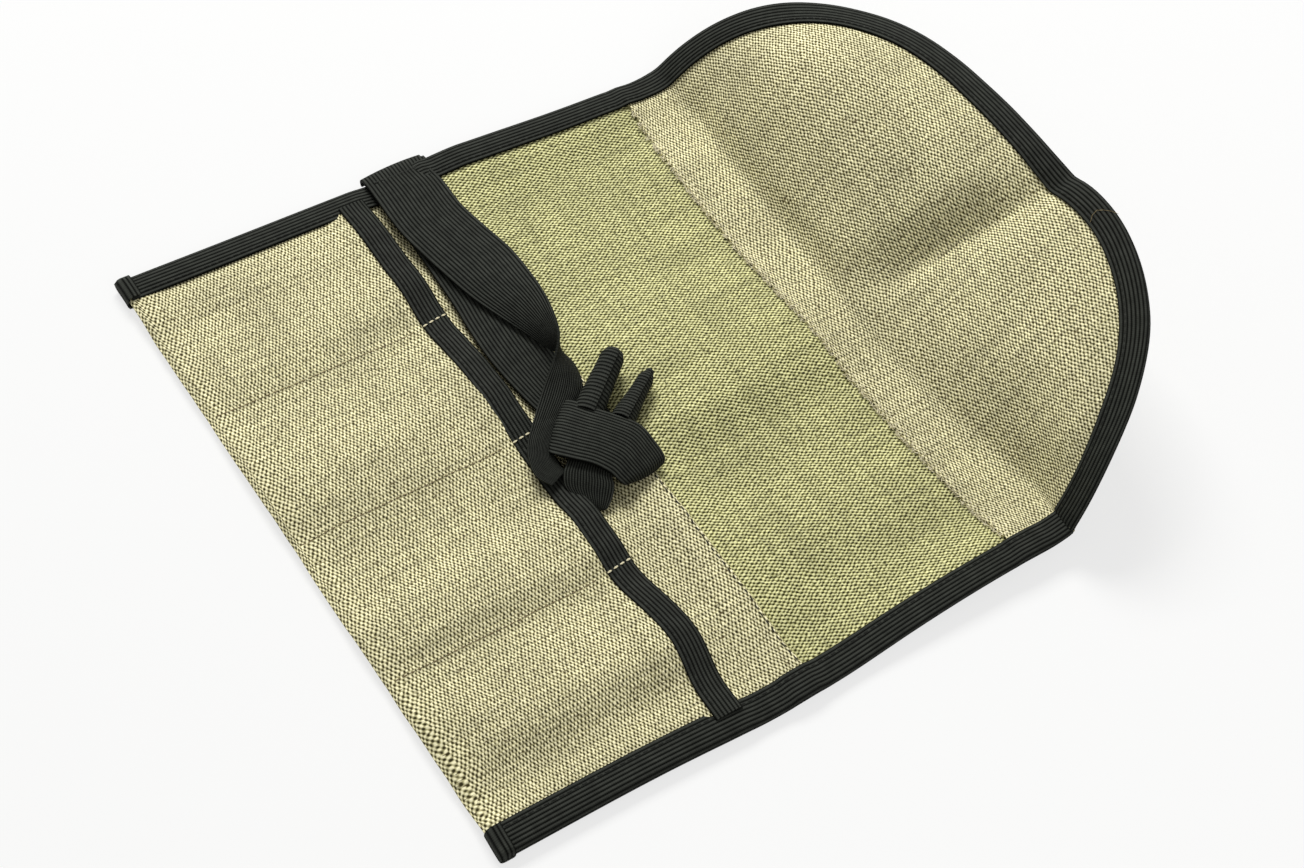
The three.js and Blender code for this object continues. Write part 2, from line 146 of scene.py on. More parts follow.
# Pocket back: the under layer of the folded beige canvas, from the pocket fold to the lap at seam 1.
# Plain-woven cotton canvas of 1 mm, cut with the width of the roll. It lies on the table and rolls on the divider lines;
# where the whole cloth lies is worked out here, in millimetres from the pocket fold and from the middle of the roll.
fold_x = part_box("pocket_back_1")[0].x * 1000
middle_y = (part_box("side_binding_near")[0].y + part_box("side_binding_far")[1].y) * 500
half_width, pitch, pocket_side = 125.0, 57.375, 114.75
seam_1, seam_2, lap = 117.5, 203.0, 8.0
crease, flap_length, flap_corner = 220.0, 93.0, 93.0
cloth, tape = 1.0, 0.8


def place(x, y, z):
    return Vector((x + fold_x, y + middle_y, z)) / 1000


def ease(start, end, at):
    t = min(max((at - start) / (end - start), 0.0), 1.0)
    return t * t * (3 - 2 * t)


# Side view of the cloth from 200 mm on: it climbs over the lap, turns up at the crease and bows over to the flap's tip.
side_start, cloth_middle = 200.0, 0.6
side_view = [(side_start, cloth_middle, 0.0)]
for step in range(250):
    run = side_start + step / 2
    slope = 14 * ease(200, 214, run) + 43 * ease(216.5, 224, run) - 46 * min(max((run - 226) / 87, 0), 1)
    x, z, _ = side_view[-1]
    slope = math.radians(slope)
    side_view.append((x + 0.5 * math.cos(slope), z + 0.5 * math.sin(slope), slope))


def wander(x, y, long, wide, seed):
    return noise.noise(Vector((x / long, y / wide, seed)))


def edge_pull(run, y):
    """The standing flap pulls the edges of the cloth in and up beside the crease."""
    return ease(118, 205, run) * ease(80, 125, abs(y)) * (1 - 0.75 * ease(226, 300, run))


def flap_end(y, inset=0.0):
    """Where the flap's cut edge lies: two round corners and a short straight tip."""
    reach = max(abs(y) - (half_width - flap_corner), 0)
    return crease + math.sqrt(max((flap_length - inset) ** 2 - reach ** 2, 0))


def valley(run):
    """The line across the roll at which the flap is dented, a little askew to its sides."""
    return -6 - 16 * (run - 222) / 78


def waves(run, y):
    """The folded pocket end doesn't lie quite flat: low waves run along it, steep on one side and gentle on the other.
    Each step gives how far the cloth rises or falls, and between which lines across the roll."""
    steps = ((3.4, -102, -89), (-2.5, -86, -60), (2.4, -60, -48), (-3.3, -40, -23), (4.2, -20, 12),
             (-4.0, 15, 56), (1.1, 57, 70), (-1.1, 72, 90), (0.8, 91, 103), (-1.0, 105, 116))
    high = sum(rise * ease(start, end, y) for rise, start, end in steps)
    return high * (1 - ease(78, 108, run)) * (0.2 + 0.8 * ease(0, 18, run))


def swell(run, y):
    """How far the cloth stands off its side view: the sides over the binding, ripples, seams and the flap's dent."""
    edge = 1.5 * ease(103 if y < 0 else 94, 114, abs(y))
    flat = 1 - ease(205, 235, run)
    panel = ease(118, 135, run) * (1 - ease(195, 222, run))
    streaks = 0.45 * (1 + wander(run, y, 55, 9, 2.0)) * flat
    broad = 1.2 * (0.6 + wander(run, y, 48, 40, 5.3)) * ease(95, 125, run) * (1 - 0.55 * ease(225, 245, run))
    crest = 4.2 * ease(-34, -12, y) * (1 - ease(-8, 60, y)) + 1.8 * ease(98, 116, y)
    crest = panel * (crest + 1.8 * ease(-98, -76, y) * (1 - ease(-76, -44, y)))
    ridge = 2.0 * math.exp(-((run - seam_1) / 12) ** 2) * (1 - 0.6 * ease(85, 112, abs(y)))
    aside = y - valley(run)
    trough = -2.8 * ease(220, 256, run) * math.exp((1.5 - math.hypot(aside, 1.5)) / (10 if aside > 0 else 4))
    inside = ease(222, 270, run) * (1 - ease(-36, 0, run - flap_end(y)))
    if aside > 0:
        half = 11 * min(aside / 80, 1) * (1 - ease(76, 122, y))
    else:
        half = 9 * min(-aside / 85, 1) * (1 - ease(95, 122, -y))
    bulge = (half - 3.0 * (1 - ease(70, 120, abs(y)))) * inside
    bulge -= 1.3 * (ease(213, 221, run) - ease(221, 234, run)) * ease(-10, 25, y) * (1 - ease(96, 120, y))
    length = max(flap_end(y) - 222, 1)
    along = min(max((run - 222) / length, 0), 1)
    slack = -24.0 * along * (1 - along) * min(length / 91, 1) ** 2 * (1 - ease(-2, 20, aside))
    pulled = 4.2 * edge_pull(run, y) if y < 0 else 0.0
    lifted = max(streaks + broad + crest, 0.0) * (1 - 0.6 * ease(100, 114, -y))
    return edge + lifted + ridge + trough + bulge + slack + pulled + waves(run, y)


def stray(run, y):
    """How far the cloth wanders from the straight cut: the far side drawn in, the near side let out before its seam,
    the pocket fold and seam 2 bowed."""
    aside = -(1.5 + 0.6 * (1 - ease(90, 125, run))) * (1 - ease(208, 226, run)) * ease(60, 125, y)
    aside -= 1.9 * math.exp(-((run - 104) / 36) ** 2) * ease(60, 125, -y)
    ahead = (1.9 * math.exp(-((y + 92) / 24) ** 2) - 0.9 * math.exp(-((y - 15) / 45) ** 2)) * (1 - ease(0, 45, run))
    ahead += 2.6 * ease(60, 112, -y) * ease(150, 200, run) * (1 - ease(226, 262, run))
    ahead -= 2.8 * math.exp(-((y - 25) / 70) ** 2) * ease(150, 200, run) * (1 - ease(206, 222, run))
    return ahead, aside


def lie(run, y, up):
    """A point at a height above the middle of the canvas: run is measured along the cloth from the pocket fold."""
    bow = (7.6 if y < 0 else 3.0) * ease(20, 112, abs(y)) * ease(185, 210, run)
    run -= 1.5 * ease(8, 50, y) * (1 - ease(80, 115, y)) * ease(270, 300, run)
    run += 2.4 * ease(8, 55, -y) * (1 - ease(85, 118, -y)) * ease(258, 296, run)
    x, z, slope = run, cloth_middle, 0.0
    if run - bow > side_start:
        at = (run - bow - side_start) * 2
        low = min(int(at), len(side_view) - 2)
        (xa, za, sa), (xb, zb, sb) = side_view[low], side_view[low + 1]
        t = at - low
        x, z, slope = xa + (xb - xa) * t + bow, za + (zb - za) * t, sa + (sb - sa) * t
    if run > 214:
        turn = math.radians(-(8 if y < 0 else 6) * y / half_width) * ease(214, 226, run - bow)
        bx, bz = 213.7 + bow, 2.2
        out, high = x - bx, z - bz
        x = bx + out * math.cos(turn) - high * math.sin(turn)
        z = bz + out * math.sin(turn) + high * math.cos(turn)
        slope += turn
    off = up + swell(run, y)
    ahead, aside = stray(run, y)
    aside -= math.copysign(2.2, y) * edge_pull(run, y)
    return x + ahead - math.sin(slope) * off, y + aside, z + math.cos(slope) * off


def finish_piece(name, bm, finish):
    mesh = bpy.data.meshes.new(name)
    bm.to_mesh(mesh)
    bm.free()
    mesh.materials.append(finish)
    mesh.polygons.foreach_set("use_smooth", [True] * len(mesh.polygons))
    mesh.set_sharp_from_angle(angle=math.radians(45))
    piece = bpy.data.objects.new(name, mesh)
    scene.collection.objects.link(piece)
    return piece


def spread(name, along, across, lay, thick, finish):
    """A length of cloth or tape: a grid that lay(p, q) gives its place and its flat position, then made thick."""
    bm = bmesh.new()
    flat = bm.loops.layers.uv.new("flat")
    bmesh.ops.create_grid(bm, x_segments=along, y_segments=across, size=0.5)
    laid = {v: lay(v.co.x + 0.5, v.co.y + 0.5) for v in bm.verts}
    for face in bm.faces:
        for loop in face.loops:
            loop[flat].uv = laid[loop.vert][1]
    for v in bm.verts:
        v.co = laid[v][0]
    bm.normal_update()
    bmesh.ops.solidify(bm, geom=bm.faces[:], thickness=thick / 1000)
    return finish_piece(name, bm, finish)


# Plain-woven canvas: pale floats of thick cotton in a brick pattern over darker gaps, uneven threads that show as
# streaks, and dark flecks of husk. Floats lie 1.3 mm apart along the roll and 2.4 mm across it, as in the photograph.
# The near-black gap colour is painted shade in the dips of the weave, and the pale float colour is partly a painted
# highlight on the crowns; the crossing yarn's own tone is only a little darker.
def woven_canvas(name, pale, middle, gap, fleck, along, across):
    made, tree = new_material(name)
    flat = add_node(tree, "ShaderNodeUVMap", uv_map="flat")
    mm = add_node(tree, "ShaderNodeVectorMath", {0: flat.outputs[0], 1: (1000, 1000, 0)}, operation="MULTIPLY")
    drift = add_node(tree, "ShaderNodeTexNoise", {"Vector": mm.outputs[0], "Scale": 0.3, "Detail": 2.0})
    drift = add_node(tree, "ShaderNodeVectorMath", {0: drift.outputs["Color"], 1: (0.5, 0.5, 0.5)}, operation="SUBTRACT")
    drift = add_node(tree, "ShaderNodeVectorMath", {0: drift.outputs[0], 1: (1.1, 1.1, 0)}, operation="MULTIPLY")
    thread = add_node(tree, "ShaderNodeVectorMath", {0: mm.outputs[0], 1: drift.outputs[0]}, operation="ADD")
    per_thread = (math.pi / along, math.pi / across, 0)
    turned = add_node(tree, "ShaderNodeVectorMath", {0: thread.outputs[0], 1: per_thread}, operation="MULTIPLY")
    parts = add_node(tree, "ShaderNodeSeparateXYZ", {0: turned.outputs[0]})
    rows = add_node(tree, "ShaderNodeMath", {0: parts.outputs[0]}, operation="COSINE")
    picks = add_node(tree, "ShaderNodeMath", {0: parts.outputs[1]}, operation="COSINE")
    floats = add_node(tree, "ShaderNodeMath", {0: rows.outputs[0], 1: picks.outputs[0]}, operation="MULTIPLY")
    uneven = add_node(tree, "ShaderNodeTexNoise", {"Vector": mm.outputs[0], "Scale": 0.9, "Detail": 1.0})
    uneven = add_node(tree, "ShaderNodeMapRange", {0: uneven.outputs[0], 1: 0.3, 2: 0.7, 3: -0.35, 4: 0.35})
    floats = add_node(tree, "ShaderNodeMath", {0: floats.outputs[0], 1: uneven.outputs[0]}, operation="ADD")
    level = add_node(tree, "ShaderNodeMapRange", {0: floats.outputs[0], 1: -1.0, 2: 1.0, 3: 0.0, 4: 1.0})
    # Painted shade and highlight: the ramp runs from near black in the dips of the weave to pale on the crowns of the
    # floats.
    ramp = add_node(tree, "ShaderNodeValToRGB", {0: level.outputs[0]})
    for stop, text in ((0.15, gap), (0.46, middle), (0.8, pale)):
        element = ramp.color_ramp.elements[-1] if text == pale else ramp.color_ramp.elements.new(stop)
        element.position, element.color = stop, hex_colour(text)
    ramp.color_ramp.elements.remove(ramp.color_ramp.elements[0])
    colour = ramp.outputs[0]
    spots = {"Scale": 1.0, "Detail": 2.0}
    for stretch, low, high in (((0.018, 0.7, 0), 0.8, 1.1), ((0.55, 0.02, 0), 0.88, 1.08), ((0.022, 0.03, 0), 0.9, 1.06)):
        streak = add_node(tree, "ShaderNodeVectorMath", {0: mm.outputs[0], 1: stretch}, operation="MULTIPLY")
        streak = add_node(tree, "ShaderNodeTexNoise", {"Vector": streak.outputs[0], "Roughness": 0.6, **spots})
        streak = add_node(tree, "ShaderNodeMapRange", {0: streak.outputs[0], 1: 0.32, 2: 0.62, 3: low, 4: high})
        mixed = {0: 1.0, 6: colour, 7: streak.outputs[0]}
        colour = add_node(tree, "ShaderNodeMix", mixed, data_type="RGBA", blend_type="MULTIPLY").outputs[2]
    for stretch, low, high, share in (
            ((0.22, 0.62, 0), 0.63, 0.74, 0.7), ((0.55, 0.95, 3.0), 0.64, 0.7, 0.8),
            ((1.5, 0.6, 7.0), 0.67, 0.72, 0.7), ((0.13, 1.9, 11.0), 0.69, 0.74, 0.85)):
        moved = {0: mm.outputs[0], 1: stretch, 2: (0, 0, stretch[2])}
        husk = add_node(tree, "ShaderNodeVectorMath", moved, operation="MULTIPLY_ADD")
        husk = add_node(tree, "ShaderNodeTexNoise", {"Vector": husk.outputs[0], "Roughness": 0.55, **spots})
        husk = add_node(tree, "ShaderNodeMapRange", {0: husk.outputs[0], 1: low, 2: high, 3: 0.0, 4: share})
        mixed = {0: husk.outputs[0], 6: colour, 7: hex_colour(fleck)}
        colour = add_node(tree, "ShaderNodeMix", mixed, data_type="RGBA").outputs[2]
    raised = add_node(tree, "ShaderNodeBump", {"Strength": 1.0, "Distance": 0.00022, "Height": level.outputs[0]})
    shader = add_node(tree, "ShaderNodeBsdfPrincipled", {
        "Base Color": colour, "Roughness": 0.92, "IOR": 1.5, "Specular IOR Level": 0.2, "Normal": raised.outputs[0]})
    add_node(tree, "ShaderNodeOutputMaterial", {"Surface": shader.outputs[0]})
    return made


beige_canvas = woven_canvas("beige_cotton_canvas", "#FCF5CA", "#AEA77A", "#2E2911", "#4A3D1E", 0.65, 1.19)
spans = (("near", -half_width, -pitch / 2, 1, 2),
         ("middle", -pitch / 2, pitch / 2, 2, 3),
         ("far", pitch / 2, half_width, 3, 4))


def roll_with(piece):
    """The piece crosses one divider line; its place is baked into its mesh, and nothing makes it bend there."""
    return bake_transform(piece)


def nodes_of(span, *stems):
    columns = {"near": (1,), "middle": (2, 3), "far": (4,)}[span[0]]
    return [f"{stem}_{i}" for stem in stems for i in columns]


inset = 1.5


def flat_cloth(name, span, start, end, up, finish):
    low, high = max(span[1], -half_width + inset), min(span[2], half_width - inset)

    def lay(p, q):
        run, y = start + p * (end - start), low + q * (high - low)
        return place(*lie(run, y, up(run))), (run / 1000, y / 1000)

    piece = spread(name, max(int((end - start) / 2.2), 5), int((high - low) / 2.0), lay, cloth, finish)
    return piece


layer = 1.1


def onto_panel(run):
    """Height of the pocket back, which climbs onto the centre panel at the lap."""
    return cloth / 2 + layer * ease(seam_1 - lap - 6, seam_1 - lap, run)


for span in spans:
    piece = flat_cloth(f"pocket_back_{span[0]}", span, 1.0, seam_1, onto_panel, beige_canvas)
    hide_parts(*nodes_of(span, "pocket_back"))
    roll_with(piece)

# Centre panel: olive canvas of the same make with its weave turned a quarter.
# It is caught under the beige cloth at both ends, by two lap seams, and its sides run into the edge binding.
olive_canvas = woven_canvas("olive_cotton_canvas", "#E6E4AC", "#9B9861", "#25240B", "#3B3A1A", 1.24, 0.71)
for span in spans:
    piece = flat_cloth(f"centre_panel_{span[0]}", span, seam_1 - lap, seam_2 + lap, lambda run: cloth / 2, olive_canvas)
    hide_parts(*nodes_of(span, "centre_panel"))
    roll_with(piece)

# Flap cloth: beige canvas. A narrow band laps over the centre panel at seam 2, then the cloth turns up at a crease and
# rises as the flap, with a shallow trough along its middle and round corners. It is cut from one length.
def over_panel(run):
    return cloth / 2 + layer * (1 - ease(seam_2 + lap, seam_2 + lap + 8, run))


band_end, root_end, cut_edge = 214.0, 228.0, 1.8
for span in spans:
    piece = flat_cloth(f"flap_band_{span[0]}", span, seam_2, band_end, over_panel, beige_canvas)
    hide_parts(*nodes_of(span, "flap_band"))
    roll_with(piece)

for i in range(1, 5):
    low, high = (i - 3) * pitch if i > 1 else -124.0, (i - 2) * pitch if i < 4 else 124.0

    def lay_root(p, q):
        y = low + q * (high - low)
        run = band_end + p * (min(root_end, flap_end(y) - 0.5) - band_end)
        return place(*lie(run, y, over_panel(run))), (run / 1000, y / 1000)

    piece = spread(f"flap_turn_{i}", 10, int((high - low) / 2), lay_root, cloth, beige_canvas)
    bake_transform(piece)

    low, high = max(low, -121.0), min(high, 121.0)

    def lay_flap(p, q):
        y = low + q * (high - low)
        run = root_end + p * (flap_end(y, cut_edge) - root_end)
        return place(*lie(run, y, over_panel(run))), (run / 1000, y / 1000)

    piece = spread(f"flap_{i}", 44, int((high - low) / 1.8), lay_flap, cloth, beige_canvas)
    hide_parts(f"flap_cloth_{i}")
    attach(piece, f"flap_strip_{i}")
    place(*lie(root_end, (low + high) / 2, 0))
    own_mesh(piece)

# Pocket front: the same beige length, folded round at the left edge of the roll and laid back over the pocket back.
# The three divider rows hold it down, so it stands up a little between them.
mouth = 90.5
lines = (-pocket_side, -pitch, 0.0, pitch, pocket_side)
fullness = ((1.2, 0.04, 0.45, 0.6), (1.0, 0.04, 0.45, 0.5), (1.2, 0.04, 0.4, 0.55), (1.4, 0.04, 0.42, 0.62))


def pocket_height(x, y):
    """Height of the pocket front's middle above the middle of the pocket back."""
    i = max(min(sum(y > line for line in lines) - 1, 3), 0)
    t = (y - lines[i]) / (lines[i + 1] - lines[i])
    high, up_from, up_by, down_from = fullness[i]
    fill = 0.18 + 0.82 * ease(4, 60, x) + 0.5 * ease(60, mouth, x)
    puff = high * ease(up_from, up_by, t) * (1 - ease(down_from, 1, t)) * fill
    fold = 0.9 * (1 - ease(0, 16, x)) * (1 - 0.5 * math.exp(-min(abs(y - line) for line in lines[1:4]) / 4))
    return 1.05 + fold + puff + layer * ease(mouth - 18, mouth - 10, x)


for span in spans:
    low, high = max(span[1], -121.5), min(span[2], 121.5)

    def lay_front(p, q):
        y = low + q * (high - low)
        run = p * (mouth + 3.0) - 3.0
        if run < 2.0:
            tall = pocket_height(2.0, y) / 2
            turn = math.pi * (0.5 - (run + 3.0) / 5.0)
            _, _, z = lie(2.0, y, tall)
            reach = tall + cloth / 2
            return place(1.0 - (reach + 0.5) * math.cos(turn), y, z - reach * math.sin(turn)), (run / 1000, y / 1000)
        x, yy, z = lie(run, y, pocket_height(run, y) + cloth / 2)
        return place(x - (1.0 - ease(2, 8, run)), yy, z), (run / 1000, y / 1000)

    piece = spread(f"pocket_front_{span[0]}", 64, int((high - low) / 1.6), lay_front, cloth, beige_canvas)
    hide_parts(*nodes_of(span, "pocket_front"))
    roll_with(piece)

# Mouth binding: 25 mm black ribbed tape folded over the edge of the pocket front and sewn through.
# Ribbed cotton tape has round lengthwise cords 1.4 mm apart with a fine weft between; it is matt and nearly black.
# Its colour is painted lighter on the cords' crowns and near black in the grooves: painted highlight and painted shade.
black_tape, tree = new_material("black_ribbed_tape")
flat = add_node(tree, "ShaderNodeUVMap", uv_map="flat")
mm = add_node(tree, "ShaderNodeVectorMath", {0: flat.outputs[0], 1: (1000, 1000, 0)}, operation="MULTIPLY")
parts = add_node(tree, "ShaderNodeSeparateXYZ", {0: mm.outputs[0]})
cords = add_node(tree, "ShaderNodeMath", {0: parts.outputs[1], 1: math.pi / 1.4}, operation="MULTIPLY")
cords = add_node(tree, "ShaderNodeMath", {0: cords.outputs[0]}, operation="SINE")
cords = add_node(tree, "ShaderNodeMath", {0: cords.outputs[0]}, operation="ABSOLUTE")
weft = add_node(tree, "ShaderNodeMath", {0: parts.outputs[0], 1: 2 * math.pi / 0.7}, operation="MULTIPLY")
weft = add_node(tree, "ShaderNodeMath", {0: weft.outputs[0]}, operation="SINE")
relief = add_node(tree, "ShaderNodeMath", {0: weft.outputs[0], 1: 0.07, 2: cords.outputs[0]}, operation="MULTIPLY_ADD")
worn = add_node(tree, "ShaderNodeTexNoise", {"Vector": mm.outputs[0], "Scale": 0.22, "Detail": 4.0, "Roughness": 0.65})
worn = add_node(tree, "ShaderNodeMapRange", {0: worn.outputs[0], 1: 0.35, 2: 0.7, 3: 0.75, 4: 1.2})
# Painted highlight and shade: the ramp gives the crowns of the cords dark grey and the grooves between them near black.
ramp = add_node(tree, "ShaderNodeValToRGB", {0: relief.outputs[0]})
ramp.color_ramp.elements[0].position, ramp.color_ramp.elements[0].color = 0.2, hex_colour("#030402")
ramp.color_ramp.elements[1].position, ramp.color_ramp.elements[1].color = 0.95, hex_colour("#383A35")
mixed = {0: 1.0, 6: ramp.outputs[0], 7: worn.outputs[0]}
shade = add_node(tree, "ShaderNodeMix", mixed, data_type="RGBA", blend_type="MULTIPLY")
raised = add_node(tree, "ShaderNodeBump", {"Strength": 1.0, "Distance": 0.0004, "Height": relief.outputs[0]})
shader = add_node(tree, "ShaderNodeBsdfPrincipled", {
    "Base Color": shade.outputs[2], "Roughness": 0.7, "IOR": 1.5, "Specular IOR Level": 0.05, "Normal": raised.outputs[0]})
add_node(tree, "ShaderNodeOutputMaterial", {"Surface": shader.outputs[0]})

tape_width, tape_leg, mouth_fold = 25.0, 10.4, 1.7


def folded_tape(v, leg, swell_out, stack):
    """Section of tape folded over an edge: v runs from the upper sewn edge, round the fold, to the lower sewn edge.
    Gives the distance in from the fold and the height from the middle of what it holds."""
    upper = leg - swell_out
    if v < upper:
        a, crown = leg - v, 0.25 * math.sin(math.pi * v / upper)
        return a, swell_out + (stack + tape + 0.1 - swell_out) * ease(swell_out, leg, a) + crown
    turn = (v - upper) / swell_out
    if turn < math.pi:
        return swell_out * (1 - math.sin(turn)), swell_out * math.cos(turn)
    a = swell_out + (v - upper - math.pi * swell_out)
    return a, -swell_out + max(swell_out - stack - tape - 0.1, 0) * ease(swell_out, leg, a)


def mouth_line(y):
    """The folded edge of the mouth binding: it wanders a little, and bends out over the fullest pocket."""
    return mouth + 1.1 + 0.5 * wander(0, y, 10, 22, 8.0) + 2.3 * math.exp(-((y + 86) / 15) ** 2)


for span in spans:
    low, high = max(span[1], -117.5), min(span[2], 117.5)

    def lay_mouth(p, q):
        y, v = low + p * (high - low), tape_width * (1 - q)
        a, b = folded_tape(v, tape_leg, mouth_fold, cloth / 2)
        _, yy, z = lie(mouth - 2, y, pocket_height(mouth, y) + b)
        return place(mouth_line(y) - a, yy, z), (y / 1000, v / 1000)

    piece = spread(f"mouth_binding_{span[0]}", int((high - low) / 1.8), 20, lay_mouth, tape, black_tape)
    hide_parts(*nodes_of(span, "mouth_binding"))
    roll_with(piece)

# Edge binding: one length of the same tape folded over both long edges and round the flap, its ends tucked in at the
# pocket fold. It is laid along the edge in one go and cut at the crease and the column lines, where the roll bends.
arc = flap_corner * math.pi / 2
tip = 2 * (half_width - flap_corner)
edge_length = 2 * crease + 2 * arc + tip


def edge_at(d):
    """Along the edge from the near pocket corner: place on the flat cloth, and the direction inwards."""
    if d > edge_length / 2:
        run, y, a, b = edge_at(edge_length - d)
        return run, -y, a, -b
    if d < crease:
        return d, -half_width, 0.0, 1.0
    turn, corner_y = (d - crease) / flap_corner, flap_corner - half_width
    if turn < math.pi / 2:
        ahead, aside = math.sin(turn), math.cos(turn)
        return crease + flap_corner * ahead, corner_y - flap_corner * aside, -ahead, aside
    return crease + flap_length, corner_y + d - crease - arc, -1.0, 0.0


def lay_edge(d, v):
    run, y, inward, up_y = edge_at(d)
    layered = 1 - ease(mouth - 2, mouth + 6, run)
    layered += ease(105, 109, run) * (1 - ease(117, 121, run)) + ease(199, 203, run) * (1 - ease(211, 220, run))
    stack = cloth / 2 + layer / 2 * layered
    a, b = folded_tape(v, tape_leg, 1.75 + 0.5 * layered, stack)
    x, yy, z = lie(run + inward * (a + 0.3), y + up_y * (a + 0.3), b + layer / 2 * layered)
    return place(x, yy, z), (d / 1000, v / 1000)


def edge_piece(name, start, end, eased=1.0):
    """A length of the binding; eased, how much of it is gathered in where it turns up at the crease, is not used."""
    def lay(p, q):
        return lay_edge(start + p * (end - start), tape_width * (1 - q))

    piece = spread(name, max(int((end - start) / 2.2), 8), 22, lay, tape, black_tape)
    return piece


side_end, turn_out = 212.0, 233.0
for side, i in (("near", 1), ("far", 4)):
    cut = (lambda a, b: (a, b)) if side == "near" else (lambda a, b: (edge_length - b, edge_length - a))
    piece = edge_piece(f"side_tape_{side}", *cut(0.2, side_end))
    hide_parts(f"side_binding_{side}")
    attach(piece, f"column_{i}")
    piece = edge_piece(f"binding_turn_{side}", *cut(side_end, turn_out), 0.85)
    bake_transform(piece)

for side, i, sign in (("near", 1, -1), ("far", 4, 1)):
    def lay_tuck(p, q):
        """The end of the binding, folded round the pocket fold: cords lie along the fold."""
        a, s = 10.2 * (1 - p), 10.4 * q
        high = 2.75 * math.sqrt(1 - (1 - min(a / 2.4, 1)) ** 2) + 0.1
        x, y, z = lie(0.0, sign * (half_width - max(a, 0.3)), 0.55)
        if s < 3.1:
            back, b = 1.9 - s, high
        elif s < 7.3:
            turn = (s - 3.1) / 4.2 * math.pi
            back, b = -1.2 - 1.7 * math.sin(turn), high * math.cos(turn)
        else:
            back, b = s - 8.5, -high
        return place(x + back + 1.6, y, max(z + b, 0.55)), (y / 1000, s / 1000)

    laid = lay_tuck if side == "far" else lambda p, q: lay_tuck(1 - p, q)
    piece = spread(f"binding_tuck_{side}", 12, 16, laid, -0.5, black_tape)
    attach(piece, f"column_{i}")

column_edge = crease + flap_corner * math.acos((pitch - half_width + flap_corner) / flap_corner)
cuts = [turn_out, column_edge, edge_length / 2]
cuts += [edge_length - d for d in reversed(cuts[:2])]
for i in range(1, 5):
    piece = edge_piece(f"flap_tape_{i}", cuts[i - 1], cuts[i])
    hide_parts(f"flap_binding_{i}")
    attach(piece, f"flap_strip_{i}")
    place(*lie(root_end, (i - 2.5) * pitch, 0))
    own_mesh(piece)

# Stitches: two-ply cotton thread, brown on the dividers, pale where they lock over the mouth binding and at seam 2, black
# at seam 1 and on the bindings. Each stitch is a short spindle pressed into the cloth; a row is one piece.
def thread_finish(name, light, dark):
    made, tree = new_material(name)
    spot = add_node(tree, "ShaderNodeTexCoord")
    twist = {"Vector": spot.outputs["Object"], "Scale": 700.0, "Distortion": 1.5, "Detail": 1.0}
    ply = add_node(tree, "ShaderNodeTexWave", twist, bands_direction="DIAGONAL")
    shades = {0: ply.outputs["Fac"], 6: hex_colour(dark), 7: hex_colour(light)}
    mixed = add_node(tree, "ShaderNodeMix", shades, data_type="RGBA")
    shader = add_node(tree, "ShaderNodeBsdfPrincipled", {
        "Base Color": mixed.outputs[2], "Roughness": 0.8, "IOR": 1.5, "Specular IOR Level": 0.25})
    add_node(tree, "ShaderNodeOutputMaterial", {"Surface": shader.outputs[0]})
    return made


pale_thread = thread_finish("pale_cotton_thread", "#E9E2C4", "#B6AC84")
brown_thread = thread_finish("brown_cotton_thread", "#8A7B58", "#5E5239")
black_thread = thread_finish("black_cotton_thread", "#23251F", "#0C0E0A")


def stitch_row(name, spots, length, width, finish):
    """Stitches at spots of (place, direction, up): spindles in millimetres, made of two dozen faces each."""
    bm = bmesh.new()
    for at, along, up in spots:
        along = along.normalized()
        side = up.cross(along).normalized()
        up = along.cross(side)
        turn = Matrix((side * width / 1000, up * width * 0.0007, along * length / 1000)).transposed()
        made = bmesh.ops.create_uvsphere(bm, u_segments=6, v_segments=4, radius=0.5)
        bmesh.ops.transform(bm, matrix=Matrix.Translation(at) @ turn.to_4x4(), verts=made["verts"])
    return finish_piece(name, bm, finish)


def stitch_spots(start, end, gap, where):
    """Spots along a row: where(s) gives the place on the cloth in millimetres."""
    spots = []
    for k in range(int((end - start) / gap)):
        s = start + (k + 0.5) * gap
        a, b = place(*where(s - 0.6)), place(*where(s + 0.6))
        spots.append(((a + b) / 2, b - a, upright))
    return spots


seam_in, upright = 2.0, Vector((0, 0, 1))
for span in spans:
    line = (span[3] - 2) * pitch

    def on_divider(s):
        x, y, z = lie(s, line, pocket_height(s, line) + cloth / 2 + 0.12)
        return x, y + 0.5 * wander(s, line, 18, 9, 1.0), z

    spots = stitch_spots(2, mouth - 11, 2.6, on_divider)
    piece = stitch_row(f"divider_stitches_{span[3]}", spots, 2.0, 0.42, brown_thread)
    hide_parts(f"divider_thread_{span[3]}")
    roll_with(piece)

    def on_tape(s):
        a, b = folded_tape(s, tape_leg, mouth_fold, cloth / 2)
        _, y, z = lie(mouth - 2, line, pocket_height(mouth, line) + b + 0.25)
        return mouth_line(line) - a, y + 0.1 * s, z

    piece = stitch_row(f"divider_lock_{span[3]}", stitch_spots(-0.6, 9.8, 2.6, on_tape), 1.9, 0.75, pale_thread)
    roll_with(piece)

    low, high = max(span[1], -113.0), min(span[2], 113.0)
    for stem, run, finish in (("seam_1_thread", seam_1 - 0.9, black_thread), ("seam_2_thread", seam_2 + 1.6, pale_thread)):
        def on_seam(s):
            return lie(run + 0.4 * wander(s, 0, 9, 9, run), s, cloth / 2 + layer + 0.15)

        piece = stitch_row(f"{stem}_{span[0]}", stitch_spots(low, high, 3.0, on_seam), 2.2, 0.45, finish)
        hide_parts(*nodes_of(span, stem))
        roll_with(piece)

    def on_mouth(s):
        a, b = folded_tape(seam_in, tape_leg, mouth_fold, cloth / 2)
        _, y, z = lie(mouth - 2, s, pocket_height(mouth, s) + b + 0.1)
        return mouth_line(s) - a, y, z

    piece = stitch_row(f"mouth_thread_{span[0]}", stitch_spots(low, high, 2.8, on_mouth), 2.1, 0.5, black_thread)
    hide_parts(*nodes_of(span, "mouth_thread"))
    roll_with(piece)

